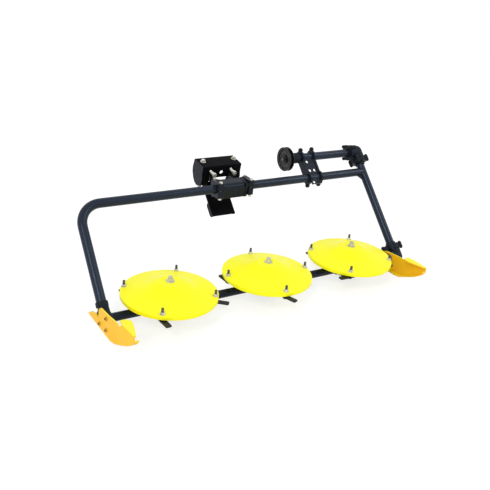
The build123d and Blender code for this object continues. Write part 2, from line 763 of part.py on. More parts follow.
for side, inner_face, inward, bolts in shoes:
    sole_band = (*shoe_sole_line, *[(y + 1.5, z + steel_plate) for y, z in reversed(shoe_sole_line)])
    with BuildPart() as runner:
        extrude(shoe_band(inner_face, inward, -steel_plate, shoe_sole), amount=shoe_top)
        add(shoe_slab(inner_face, sole_band), mode=Mode.INTERSECT)
    with BuildPart() as shoe:
        extrude(shoe_band(inner_face, inward, -steel_plate, 0), amount=shoe_top)
        add(shoe_slab(inner_face, (*shoe_sole_line, *shoe_nose_line, *shoe_top_lines[side])), mode=Mode.INTERSECT)
        add(runner.part)
        with BuildSketch(level_plane(inner_face, 0, shoe_top - steel_plate)):
            with BuildLine():
                Polyline(*[(inward * (turned_in(y) + width), y) for y, width in shoe_flange_line], close=True)
            make_face()
        extrude(amount=steel_plate)
        if side == "right":
            extrude(
                circle_on(side_plane(inner_face, 0, bar_height), shoe_bar_hole),
                amount=steel_plate, mode=Mode.SUBTRACT,
            )
    save(shoe, f"shoe_{side}")

    head_seat = inner_face - steel_plate if inward > 0 else inner_face - clamp_flange_thickness
    with BuildPart() as shoe_bolts:
        for y, z in bolts:
            with BuildSketch(side_plane(head_seat - shoe_head_height, y, z)):
                RegularPolygon(shoe_head_radius, 6)
            extrude(amount=shoe_head_height)
    save(shoe_bolts, f"shoe_bolts_{side}")

with BuildPart() as clamp_flange:
    with BuildSketch(side_plane(shoe_right_x - steel_plate - clamp_flange_thickness, 0, bar_height)):
        Circle(clamp_flange_radius)
        with Locations((0, clamp_flange_top - bar_height)):
            Rectangle(4 * clamp_flange_radius, 4 * clamp_flange_radius, align=(Align.CENTER, Align.MIN), mode=Mode.SUBTRACT)
        Circle(bar_radius + seat_gap, mode=Mode.SUBTRACT)
    extrude(amount=clamp_flange_thickness)
save(clamp_flange, "clamp_flange")

# ---------------------------------------------------------------- hitch
# The hitch is pitched about the top tube: v runs back from the tube's axis, w up.
hitch_pitch = radians(10.2)
hitch_x = -7.0                # middle of the hitch
sleeve_start = hitch_x - 51.0
sleeve_end = hitch_x + 61.0
collar_gap = 0.5


def hitch_point(v, w):
    """y and z of a point of the pitched hitch."""
    back = top_tube_back + v * cos(hitch_pitch) - w * sin(hitch_pitch)
    return back, top_tube_height + v * sin(hitch_pitch) + w * cos(hitch_pitch)


def hitch_side(x):
    """Plane facing +X on the hitch: local x is v, local y is w."""
    return Plane(
        origin=(x, top_tube_back, top_tube_height), x_dir=(0, cos(hitch_pitch), sin(hitch_pitch)), z_dir=(1, 0, 0),
    )


def hitch_face(v):
    """Plane facing -v: local x is X, local y is w."""
    return Plane(
        origin=(0, *hitch_point(v, 0)), x_dir=(1, 0, 0), z_dir=(0, -cos(hitch_pitch), -sin(hitch_pitch)),
    )


def hitch_level(w):
    """Plane facing +w: local x is X, local y is v."""
    return Plane(
        origin=(0, *hitch_point(0, w)), x_dir=(1, 0, 0), z_dir=(0, -sin(hitch_pitch), cos(hitch_pitch)),
    )


# The stop collars are split blocks, fixed on the top tube with two bolts each.
collar_width_left = 25.5
collar_width_right = 20.5
collar_half_depth = 29.0
collar_half_height = 30.0
collar_slit = 2.0
collar_corner = 3.0
collar_bolt_radius = 4.0
collar_bolt_spread = 23.0     # of the bolts, each side of the tube's axis
collar_head_radius = 7.0
collar_head_height = 6.0

stop_collars = (
    # side, x of its ends
    ("left", sleeve_start - collar_gap - collar_width_left, sleeve_start - collar_gap),
    ("right", sleeve_end + collar_gap, sleeve_end + collar_gap + collar_width_right),
)

for side, low, high in stop_collars:
    middle_of_collar = (low + high) / 2
    with BuildPart() as collar:
        with BuildSketch(side_plane(low, top_tube_back, top_tube_height)):
            RectangleRounded(2 * collar_half_depth, 2 * collar_half_height, collar_corner)
            Rectangle(4 * collar_half_depth, collar_slit, mode=Mode.SUBTRACT)
            Circle(tube_radius + seat_gap, mode=Mode.SUBTRACT)
        extrude(amount=high - low)
        with BuildSketch(level_plane(middle_of_collar, top_tube_back, top_tube_height)):
            with Locations((0, -collar_bolt_spread), (0, collar_bolt_spread)):
                Circle(collar_bolt_radius + seat_gap)
        extrude(amount=2 * collar_half_height, both=True, mode=Mode.SUBTRACT)
    save(collar, f"stop_collar_{side}")

    with BuildPart() as collar_bolts:
        shank_end = collar_half_height + collar_head_height
        for y in (top_tube_back - collar_bolt_spread, top_tube_back + collar_bolt_spread):
            with BuildSketch(level_plane(middle_of_collar, y, top_tube_height - shank_end)):
                Circle(collar_bolt_radius)
            extrude(amount=2 * shank_end)
            for z in (-shank_end, collar_half_height):
                with BuildSketch(level_plane(middle_of_collar, y, top_tube_height + z)):
                    RegularPolygon(collar_head_radius, 6)
                extrude(amount=collar_head_height)
    save(collar_bolts, f"collar_bolts_{side}")

hitch_plate = 5.0
hitch_half_width = 87.0
hitch_front = 88.0            # v of the front wall
hitch_depth = 72.0            # of the top plate, back from the front wall
hitch_top = 48.0
hitch_leg_bottom = -32.0      # feet of the front wall
hitch_wall_bottom = -3.0      # lower edge of the front wall between its feet
hitch_wall_gap = (-56.0, 43.0)                     # feet's inner edges, from the middle
hitch_pin_radius = 8.0        # locking pin's hole in the front wall
hitch_pin_rise = 18.0
hitch_fold = 4.0              # outer radius of the fold along the top of the front wall

hitch_side_outline = (
    # v beyond the front wall, w
    (0.0, 48.0), (0.0, 14.0), (-6.0, -4.0), (0.0, -34.0), (30.0, -46.0), (49.0, -40.0), (62.0, -28.0),
    (74.0, -6.0), (77.0, 12.0), (72.0, 48.0),
)

sleeve_radius = tube_radius + 5.0
sleeve_skirt = 34.0           # lower edge of the sleeve below the tube's axis
sleeve_cheeks = ((sleeve_start, 8.0), (sleeve_end - 11.0, 11.0))
sleeve_back = 29.0            # square back of the sleeve behind the tube's axis
cheek_outline = (-24.0, sleeve_back, 24.0)         # v of its front and back, w of its top
arms = ((sleeve_start, 8.0), (hitch_x + 37.0, 10.0))
arm_outline = (
    # share of the way to the front wall, w
    (0.0, -16.0), (1.0, -16.0), (1.0, 2.0), (0.6, 8.0), (0.0, 20.0),
)

with BuildPart() as hitch_sleeve:
    with BuildSketch(hitch_side(sleeve_start)):
        Circle(sleeve_radius)
        with Locations((0, -sleeve_skirt)):
            Rectangle(sleeve_radius, sleeve_skirt, align=(Align.MAX, Align.MIN))
            Rectangle(sleeve_back, sleeve_skirt + sleeve_radius, align=Align.MIN)
            Rectangle(2 * tube_radius, sleeve_skirt, align=(Align.CENTER, Align.MIN), mode=Mode.SUBTRACT)
    extrude(amount=sleeve_end - sleeve_start)
    for x, width in sleeve_cheeks:
        with BuildSketch(hitch_side(x)):
            with BuildLine():
                front, back, top = cheek_outline
                Polyline((front, -sleeve_skirt), (back, -sleeve_skirt), (back, top), (front, top), close=True)
            make_face()
        extrude(amount=width)
    for x, width in arms:
        with BuildSketch(hitch_side(x)):
            with BuildLine():
                Polyline(*[(share * hitch_front, w) for share, w in arm_outline], close=True)
            make_face()
        extrude(amount=width)
    with BuildSketch(hitch_side(sleeve_start)):
        Circle(tube_radius + seat_gap)
    extrude(amount=sleeve_end - sleeve_start, mode=Mode.SUBTRACT)
save(hitch_sleeve, "hitch_sleeve")

clamp_screw_radius = 5.0
clamp_screw_setback = 42.0    # of the two clamp screws, from the front wall
clamp_screw_end = -68.0
clamp_nut_radius = 9.0
clamp_nut_height = 9.0
clamp_stud_tip = 3.0
clamp_nut_rise = 10.0         # of the lower nut from the screw's end
clamp_screws = (hitch_x - 66.0, hitch_x + 74.0)
stop_screws = (hitch_x - 51.0, hitch_x + 40.0)
stop_screw_rise = 28.0        # of the two screws in the front wall
stop_screw_radius = 5.0
stop_screw_length = 26.0
stop_head_radius = 8.5
stop_head_height = 10.0
clamp_screw_places = [(x, hitch_front + clamp_screw_setback) for x in clamp_screws]

with BuildPart() as hitch_box:
    for x in (hitch_x - hitch_half_width, hitch_x + hitch_half_width - hitch_plate):
        with BuildSketch(hitch_side(x)):
            with BuildLine():
                Polyline(*[(hitch_front + v, w) for v, w in hitch_side_outline], close=True)
            make_face()
        extrude(amount=hitch_plate)
    with BuildSketch(hitch_level(hitch_top - hitch_plate)):
        with Locations((hitch_x, hitch_front)):
            Rectangle(2 * hitch_half_width, hitch_depth, align=(Align.CENTER, Align.MIN))
        with Locations(*clamp_screw_places):
            Circle(clamp_screw_radius + seat_gap, mode=Mode.SUBTRACT)
    extrude(amount=hitch_plate)
    with BuildSketch(hitch_face(hitch_front + hitch_plate)):
        with BuildLine():
            left, right = hitch_x - hitch_half_width, hitch_x + hitch_half_width
            gap_left, gap_right = (hitch_x + edge for edge in hitch_wall_gap)
            Polyline(
                (left, hitch_top), (left, hitch_leg_bottom), (gap_left, hitch_leg_bottom),
                (gap_left, hitch_wall_bottom), (gap_right, hitch_wall_bottom), (gap_right, hitch_leg_bottom),
                (right, hitch_leg_bottom), (right, hitch_top), close=True,
            )
        make_face()
        with Locations((hitch_x, hitch_pin_rise)):
            Circle(hitch_pin_radius, mode=Mode.SUBTRACT)
    extrude(amount=hitch_plate)
    fold = (hitch_x, *hitch_point(hitch_front, hitch_top))
    fillet(hitch_box.edges().filter_by(Axis.X).sort_by_distance(fold)[0], radius=hitch_fold)
save(hitch_box, "hitch_box")

tail_foot = (12.7, -132.4)    # v and w of the tail's lower edge
tail_length = 147.0
tail_edges = (hitch_x - 53.0, hitch_x + 52.0)
tail_flange = 20.0
tail_flange_length = 60.0
tail_flange_corner = 13.0
tail_cheek = (
    # v beyond the front wall's back face, w, of the plates that carry the tail
    (0.0, 30.0), (11.0, 30.0), (25.0, -20.0), (34.0, -54.0), (0.0, -78.0),
)
tail_plane = Plane(origin=(0, *hitch_point(*tail_foot)), x_dir=(1, 0, 0), z_dir=frame_normal)
tail_y, tail_z = hitch_point(*tail_foot)
tail_corner = (
    # of the flanges, behind the columns' plane and along it
    tail_y * cos(column_lean) - (tail_z - bar_height) * sin(column_lean),
    tail_y * sin(column_lean) + (tail_z - bar_height) * cos(column_lean),
)

with BuildPart() as hitch_tail:
    with BuildSketch(tail_plane):
        with BuildLine():
            left, right = tail_edges
            Polyline((left, 0), (right, 0), (right, tail_length), (left, tail_length), close=True)
        make_face()
    extrude(amount=-hitch_plate)
    for x in (left, right - hitch_plate):
        with BuildSketch(leaning_side_plane(x, 0)) as flange:
            with Locations(tail_corner):
                Rectangle(tail_flange, tail_flange_length, align=(Align.MIN, Align.MIN))
            fillet(flange.vertices().group_by(Axis.X)[-1], radius=tail_flange_corner)
        extrude(amount=hitch_plate)
        with BuildSketch(hitch_side(x)):
            with BuildLine():
                Polyline(*[(hitch_front + hitch_plate + v, w) for v, w in tail_cheek], close=True)
            make_face()
        extrude(amount=hitch_plate)
save(hitch_tail, "hitch_tail")

with BuildPart() as hitch_screws:
    for x, v in clamp_screw_places:
        # radius, from w, to w
        for radius, low, high in (
            (clamp_screw_radius, clamp_screw_end, hitch_top + clamp_nut_height + clamp_stud_tip),
            (clamp_nut_radius, clamp_screw_end + clamp_nut_rise, clamp_screw_end + clamp_nut_rise + clamp_nut_height),
            (clamp_nut_radius, hitch_top, hitch_top + clamp_nut_height),
        ):
            with BuildSketch(hitch_level(low)):
                with Locations((x, v)):
                    Circle(radius)
            extrude(amount=high - low)
    for x in stop_screws:
        for radius, v, length in (
            (stop_screw_radius, hitch_front, stop_screw_length),
            (stop_head_radius, hitch_front - stop_screw_length, stop_head_height),
        ):
            with BuildSketch(hitch_face(v)):
                with Locations((x, stop_screw_rise)):
                    Circle(radius)
            extrude(amount=length)
save(hitch_screws, "hitch_screws")

# ---------------------------------------------------------------- export
# The origin moves to the middle of the machine's footprint, on the ground.
boxes = [piece.bounding_box() for piece in pieces.values()]
middle_x = (min(box.min.X for box in boxes) + max(box.max.X for box in boxes)) / 2
middle_y = (min(box.min.Y for box in boxes) + max(box.max.Y for box in boxes)) / 2
footprint = Location((-middle_x, -middle_y, 0))

for name, piece in pieces.items():
    placed = piece.moved(footprint)
    placed.label = name
    export_step(placed, f"parts/{name}.step")
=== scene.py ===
"""Front mower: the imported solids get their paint, castings, fasteners and welds here.

Metres, +X along the cutter bar towards the drive side, +Y back to the tractor, +Z up.
Sizes of fasteners and welds are in millimetres, and MM turns them into metres.
"""
import json
from math import cos, pi, radians, sin

import bmesh
import bpy
from mathutils import Matrix, Vector


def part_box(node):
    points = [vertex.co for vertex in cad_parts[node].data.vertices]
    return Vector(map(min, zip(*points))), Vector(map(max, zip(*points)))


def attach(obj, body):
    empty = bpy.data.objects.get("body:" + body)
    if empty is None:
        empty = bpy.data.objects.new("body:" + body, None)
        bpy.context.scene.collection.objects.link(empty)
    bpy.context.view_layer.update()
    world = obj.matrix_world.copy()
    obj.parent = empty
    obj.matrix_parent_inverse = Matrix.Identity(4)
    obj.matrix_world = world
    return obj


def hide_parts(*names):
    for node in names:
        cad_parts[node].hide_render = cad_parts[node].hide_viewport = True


MM = 0.001
UPRIGHT, ALONG_BAR = Vector((0, 0, 1)), Vector((1, 0, 0))

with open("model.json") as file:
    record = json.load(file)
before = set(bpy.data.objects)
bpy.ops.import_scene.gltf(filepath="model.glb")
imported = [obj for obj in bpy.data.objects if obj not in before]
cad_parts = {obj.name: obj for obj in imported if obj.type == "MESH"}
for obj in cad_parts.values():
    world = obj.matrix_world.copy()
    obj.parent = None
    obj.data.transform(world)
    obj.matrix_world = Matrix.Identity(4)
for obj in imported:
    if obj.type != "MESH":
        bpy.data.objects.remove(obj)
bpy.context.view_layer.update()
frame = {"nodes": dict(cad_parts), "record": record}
nodes = frame["nodes"]
record = frame["record"]
slots = {part["node"]: part["material_slot"] for part in record["subparts"]}
mounts = {mount["name"]: mount for mount in record["mounts"]}
places = {joint["name"]: Vector(joint["pos_m"]) for joint in record["behaviour"]["joints"]}
scene = bpy.context.scene


def middle(node):
    """Middle of a CAD node's box."""
    low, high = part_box(node)
    return (low + high) / 2


# ---------------------------------------------------------------- camera
# The photograph's view, fitted to the discs' rims and bolts. Lens and sensor in millimetres.
CAMERA_FROM_RIM = Vector((-1.34685, -1.77583, 1.10243))   # from the middle disc's rim centre
HEADING, DIP, ROLL = radians(34.816), radians(24.249), radians(6.032)
LENS, SENSOR = 49.444, 36.0

forward = Vector((sin(HEADING) * cos(DIP), cos(HEADING) * cos(DIP), -sin(DIP)))
level_right = Vector((cos(HEADING), -sin(HEADING), 0))
level_up = level_right.cross(forward)
right = level_right * cos(ROLL) + level_up * sin(ROLL)
up = level_up * cos(ROLL) - level_right * sin(ROLL)
camera_turn = Matrix((right, up, -forward)).transposed().to_4x4()
camera_place = Matrix.Translation(places["disc_middle_spin"] + CAMERA_FROM_RIM)

camera_data = bpy.data.cameras.new("camera")
camera_data.lens = LENS
camera_data.sensor_width = SENSOR
camera = bpy.data.objects.new("camera", camera_data)
camera.matrix_world = camera_place @ camera_turn
scene.collection.objects.link(camera)
bpy.context.scene.camera = camera

# ---------------------------------------------------------------- studio
scene.view_settings.view_transform = "Standard"


def link(tree, source, target):
    tree.links.new(source, target)


def seen_directly(tree):
    """1 for camera, glossy and transmission rays, which see the studio's white."""
    path = tree.nodes.new("ShaderNodeLightPath")
    share = path.outputs["Is Camera Ray"]
    for ray in ("Is Glossy Ray", "Is Transmission Ray"):
        either = tree.nodes.new("ShaderNodeMath")
        either.operation = "MAXIMUM"
        link(tree, share, either.inputs[0])
        link(tree, path.outputs[ray], either.inputs[1])
        share = either.outputs[0]
    return share


def grey(level):
    return (level, level, level, 1)


AMBIENT, BACKDROP = 0.84, 1.0           # the world as a light, and as it is seen

world = bpy.data.worlds.new("studio")
scene.world = world
world.use_nodes = True
tree = world.node_tree
tree.nodes.clear()
lit = tree.nodes.new("ShaderNodeBackground")
lit.inputs["Color"].default_value = grey(1)
lit.inputs["Strength"].default_value = AMBIENT
shown = tree.nodes.new("ShaderNodeBackground")
shown.inputs["Color"].default_value = grey(1)
shown.inputs["Strength"].default_value = BACKDROP
mix = tree.nodes.new("ShaderNodeMixShader")
output = tree.nodes.new("ShaderNodeOutputWorld")
link(tree, seen_directly(tree), mix.inputs["Fac"])
link(tree, lit.outputs[0], mix.inputs[1])
link(tree, shown.outputs[0], mix.inputs[2])
link(tree, mix.outputs[0], output.inputs["Surface"])

LAMP_ANGLE = radians(14)                # across each lamp, so that shadows are soft
for name, strength, towards in (
    ("key", 0.8, (-0.75, -0.5, 0.85)),
    ("fill", 0.4, (0.62, -0.48, 0.62)),
):
    lamp_data = bpy.data.lights.new(name, "SUN")
    lamp_data.energy = strength
    lamp_data.angle = LAMP_ANGLE
    lamp = bpy.data.objects.new(name, lamp_data)
    lamp.rotation_euler = Vector(towards).to_track_quat("Z", "Y").to_euler()
    scene.collection.objects.link(lamp)

FLOOR_SIZE = 14.0
PAPER_ROUGHNESS = 0.9
PAPER_LIGHT = 0.86                      # the floor as it lights the object from below
PAPER_SEEN, PAPER_GLOW = 0.32, 0.76     # and as it is seen: what takes shadow, and the rest

half = FLOOR_SIZE / 2
corners = [(-half, -half, 0), (half, -half, 0), (half, half, 0), (-half, half, 0)]
floor_mesh = bpy.data.meshes.new("floor")
floor_mesh.from_pydata(corners, [], [(0, 1, 2, 3)])
floor = bpy.data.objects.new("floor", floor_mesh)
scene.collection.objects.link(floor)

floor_paper = bpy.data.materials.new("floor_paper")
floor_paper.use_nodes = True
tree = floor_paper.node_tree
paper = tree.nodes["Principled BSDF"]
paper_tone = tree.nodes.new("ShaderNodeMix")
paper_tone.data_type = "RGBA"
paper_tone.inputs["A"].default_value = grey(PAPER_LIGHT)
paper_tone.inputs["B"].default_value = grey(PAPER_SEEN)
link(tree, seen_directly(tree), paper_tone.inputs["Factor"])
link(tree, paper_tone.outputs["Result"], paper.inputs["Base Color"])
paper.inputs["Roughness"].default_value = PAPER_ROUGHNESS
paper.inputs["Specular IOR Level"].default_value = 0.0
glow = tree.nodes.new("ShaderNodeEmission")
glow_level = tree.nodes.new("ShaderNodeMath")
glow_level.operation = "MULTIPLY"
glow_level.inputs[1].default_value = PAPER_GLOW
link(tree, seen_directly(tree), glow_level.inputs[0])
link(tree, glow_level.outputs[0], glow.inputs["Strength"])
added = tree.nodes.new("ShaderNodeAddShader")
link(tree, paper.outputs[0], added.inputs[0])
link(tree, glow.outputs[0], added.inputs[1])
link(tree, added.outputs[0], tree.nodes["Material Output"].inputs["Surface"])
floor.data.materials.append(floor_paper)

# ---------------------------------------------------------------- materials
NOISE_LOW, NOISE_HIGH = 0.3, 0.7        # between which a noise mostly stays
DRIFT_DETAIL, WEAR_DETAIL, BUMP_DETAIL = 4, 3, 5
WEAR_SCALE = 4                          # roughness varies this much finer than colour
BEVEL_SAMPLES = 4


def srgb(r, g, b):
    """Linear colour of an 8-bit sRGB one."""
    shares = (value / 255 for value in (r, g, b))
    return tuple(
        ((share + 0.055) / 1.055) ** 2.4 if share > 0.04045 else share / 12.92 for share in shares
    ) + (1,)


def noise(tree, scale, detail):
    """Object-space noise of that scale per metre."""
    place = tree.nodes.new("ShaderNodeTexCoord")
    texture = tree.nodes.new("ShaderNodeTexNoise")
    texture.inputs["Scale"].default_value = scale
    texture.inputs["Detail"].default_value = detail
    link(tree, place.outputs["Object"], texture.inputs["Vector"])
    return texture.outputs["Fac"]


def spread(tree, value, low, high):
    """A noise remapped to low..high."""
    node = tree.nodes.new("ShaderNodeMapRange")
    node.inputs["From Min"].default_value = NOISE_LOW
    node.inputs["From Max"].default_value = NOISE_HIGH
    node.inputs["To Min"].default_value = low
    node.inputs["To Max"].default_value = high
    link(tree, value, node.inputs["Value"])
    return node.outputs["Result"]


def blend_colours(tree, factor, first, second):
    """Mix of two colours, each one a plain colour or a socket."""
    node = tree.nodes.new("ShaderNodeMix")
    node.data_type = "RGBA"
    link(tree, factor, node.inputs["Factor"])
    for socket, colour in ((node.inputs["A"], first), (node.inputs["B"], second)):
        if isinstance(colour, tuple):
            socket.default_value = colour
        else:
            link(tree, colour, socket)
    return node.outputs["Result"]


def rounded(tree, radius):
    """Normal that softens sharp edges, as paint and forming do."""
    bevel = tree.nodes.new("ShaderNodeBevel")
    bevel.samples = BEVEL_SAMPLES
    bevel.inputs["Radius"].default_value = radius * MM
    return bevel.outputs["Normal"]


# Mask for painted light: how far a surface faces along a world axis.
def facing_share(tree, axis, low, high):
    """0 to 1 as the surface's normal reaches from low to high along a world axis.

    X counts both ways, and Z upwards only.
    """
    place = tree.nodes.new("ShaderNodeNewGeometry")
    split = tree.nodes.new("ShaderNodeSeparateXYZ")
    link(tree, place.outputs["Normal"], split.inputs[0])
    reach = tree.nodes.new("ShaderNodeMath")
    reach.operation = "ABSOLUTE" if axis == "X" else "MAXIMUM"
    reach.inputs[1].default_value = 0.0
    link(tree, split.outputs[axis], reach.inputs[0])
    node = tree.nodes.new("ShaderNodeMapRange")
    node.inputs["From Min"].default_value = low
    node.inputs["From Max"].default_value = high
    link(tree, reach.outputs[0], node.inputs["Value"])
    return node.outputs["Result"]


def material(name, colour, variation, roughness, bumps, scale, metallic=0.0, specular=0.5,
             edge=1.0, ior=1.5, tint=None, painted_light_colour=None, painted_light_axis=("Z", 0.1, 0.45)):
    """Procedural finish: colour drifts to variation, and roughness within its range.

    Bumps are (scale, height in millimetres, strength), and edge is how far the finish
    rounds the part's edges. The painted light colour takes over on surfaces that face
    along the painted light axis: light or shade painted by the surface's direction.
    """
    made = bpy.data.materials.new(name)
    made.use_nodes = True
    tree = made.node_tree
    shader = tree.nodes["Principled BSDF"]
    shader.inputs["Metallic"].default_value = metallic
    shader.inputs["Specular IOR Level"].default_value = specular
    shader.inputs["IOR"].default_value = ior
    if tint:
        shader.inputs["Specular Tint"].default_value = tint
    drift = spread(tree, noise(tree, scale, DRIFT_DETAIL), 0.0, 1.0)
    painted = blend_colours(tree, drift, colour, variation)
    # Painted light: surfaces that face along the painted light axis take the lighter painted light
    # colour, as if light falls on them.
    if painted_light_colour:
        painted = blend_colours(tree, facing_share(tree, *painted_light_axis), painted, painted_light_colour)
    link(tree, painted, shader.inputs["Base Color"])
    wear = spread(tree, noise(tree, WEAR_SCALE * scale, WEAR_DETAIL), *roughness)
    link(tree, wear, shader.inputs["Roughness"])
    normal = rounded(tree, edge)
    for bump_scale, height, strength in bumps:
        bump = tree.nodes.new("ShaderNodeBump")
        bump.inputs["Strength"].default_value = strength
        bump.inputs["Distance"].default_value = height * MM
        link(tree, noise(tree, bump_scale, BUMP_DETAIL), bump.inputs["Height"])
        link(tree, normal, bump.inputs["Normal"])
        normal = bump.outputs["Normal"]
    link(tree, normal, shader.inputs["Normal"])
    return made


COOL = (0.6, 0.78, 1.0, 1)              # of the black paint's gloss

finishes = {
    "yellow_disc": material(
        "lemon_enamel", srgb(255, 252, 26), srgb(252, 247, 20), (0.34, 0.44), ior=1.3,
        bumps=((350, 0.04, 0.2), (25, 0.2, 0.12)), scale=4.0, edge=2.0,
    ),
    # Painted highlight: the shoe's upward faces take a paler lemon colour, as if light falls on
    # them.
    "yellow_shoe": material(
        "amber_enamel", srgb(255, 200, 14), srgb(254, 191, 12), (0.34, 0.45), ior=1.3,
        bumps=((350, 0.04, 0.2), (25, 0.2, 0.15)), scale=5.0, painted_light_colour=srgb(252, 240, 50),
    ),
    "black_paint": material(
        "black_enamel", srgb(20, 22, 29), srgb(27, 31, 39), (0.24, 0.32), ior=1.28, tint=COOL,
        bumps=((300, 0.05, 0.3), (40, 0.1, 0.2)), scale=8.0,
    ),
    "black_casting": material(
        "black_cast_iron", srgb(18, 20, 26), srgb(29, 31, 36), (0.42, 0.6), ior=1.28, tint=COOL,
        bumps=((700, 0.3, 0.5), (120, 0.5, 0.4)), scale=12.0, edge=3.0,
    ),
    # Painted light: the frame tubes take a lighter, bluer copy of the black enamel, standing in for
    # the light on their rounded sides.
    "black_tube": material(
        "black_tube_enamel_painted_lighter", srgb(27, 31, 42), srgb(34, 40, 53), (0.24, 0.32), ior=1.33, tint=COOL,
        bumps=((300, 0.05, 0.3), (40, 0.1, 0.2)), scale=8.0,
    ),
    # Painted light and shade: the hitch takes a darker, matte copy of the black enamel as painted
    # shade. Its side faces, along the bar both ways, take a paler grey as painted light.
    "black_hitch": material(
        "black_hitch_enamel_painted_light_and_shade", srgb(10, 10, 13), srgb(14, 15, 18), (0.5, 0.6), ior=1.1,
        bumps=((300, 0.05, 0.3), (40, 0.1, 0.2)), scale=8.0, edge=1.6,
        painted_light_colour=srgb(54, 56, 62), painted_light_axis=("X", 0.6, 0.95),
    ),
    "yellow_zinc": material(
        "passivated_zinc", srgb(214, 188, 96), srgb(190, 160, 76), (0.3, 0.45), metallic=0.85,
        bumps=((500, 0.05, 0.3),), scale=50.0, edge=0.4,
    ),
    "dark_bolts": material(
        "blackened_steel", srgb(34, 33, 34), srgb(52, 49, 46), (0.35, 0.55), metallic=0.6,
        specular=0.3, bumps=((400, 0.08, 0.4),), scale=60.0, edge=0.4,
    ),
    "zinc_steel": material(
        "zinc_plate", srgb(226, 224, 216), srgb(196, 194, 184), (0.25, 0.42), metallic=0.9,
        bumps=((500, 0.05, 0.3),), scale=50.0, edge=0.4,
    ),
    "stud_steel": material(
        "bare_thread_steel", srgb(112, 110, 106), srgb(84, 82, 80), (0.35, 0.5), metallic=0.85,
        bumps=((400, 0.08, 0.4),), scale=60.0, edge=0.3,
    ),
    "knife_steel": material(
        "tempered_steel", srgb(30, 30, 36), srgb(48, 46, 46), (0.35, 0.5), metallic=0.5,
        specular=0.3, bumps=((260, 0.08, 0.4),), scale=30.0, edge=0.8,
    ),
    "pulley_iron": material(
        "turned_iron", srgb(20, 22, 25), srgb(30, 32, 35), (0.2, 0.32), metallic=0.55,
        bumps=((500, 0.12, 0.4),), scale=20.0,
    ),
}
weld_metal = material(
    "painted_weld", srgb(20, 22, 28), srgb(34, 35, 38), (0.3, 0.5), specular=0.3,
    bumps=((900, 0.2, 0.5),), scale=80.0, edge=0.3,
)

zinc, dark, stud = finishes["zinc_steel"], finishes["dark_bolts"], finishes["stud_steel"]

# A node's finish has its slot's name, apart from these.
# The hitch's finish holds painted light and shade, and the frame tubes' finish holds painted light.
special_finishes = {
    "hitch_box": "black_hitch", "hitch_tail": "black_hitch",
    "frame_tube": "black_tube", "right_column": "black_tube", "shaft_tube": "black_tube",
}
for name, node in nodes.items():
    node.data.materials.clear()
    node.data.materials.append(finishes[special_finishes.get(name, slots[name])])

# ---------------------------------------------------------------- mesh pieces
top_tube = places["hitch_tilt"]
bar_axis = middle("cutter_bar")
up_columns = Vector((0, top_tube.y - bar_axis.y, top_tube.z - bar_axis.z)).normalized()
across_frame = ALONG_BAR.cross(up_columns)
right_column_x = middle("right_column").x

# Shares of a hexagon's corner radius: its chamfer's height, and its corners there.
CHAMFER, CHAMFER_END, CHAMFER_MIDDLE = 0.1, 0.86, 0.94
# A thread's root as a share of its radius, and where a turn leaves and reaches it in a pitch.
ROOT, ROOT_START, ROOT_MIDDLE = 0.88, 0.3, 0.65
TIP, TIP_HEIGHT = 0.82, 0.6             # a thread's point: share of the radius, and of a pitch
TURNED_STEPS, HEXAGON_STEPS, THREAD_STEPS, BEAD_STEPS, ROUND_STEPS = 32, 36, 20, 8, 48
SHARP = radians(32)
NEARLY_ALONG = 0.9                      # an axis that reaches this far in x runs along the bar


def axis_frame(origin, axis, corner=None):
    """Local frame at origin with z along axis, and x towards corner."""
    axis = axis.normalized()
    if corner is None:
        corner = ALONG_BAR if abs(axis.x) < NEARLY_ALONG else UPRIGHT
    side = (corner - axis * corner.dot(axis)).normalized()
    turn = Matrix((side, axis.cross(side), axis)).transposed().to_4x4()
    return Matrix.Translation(origin) @ turn


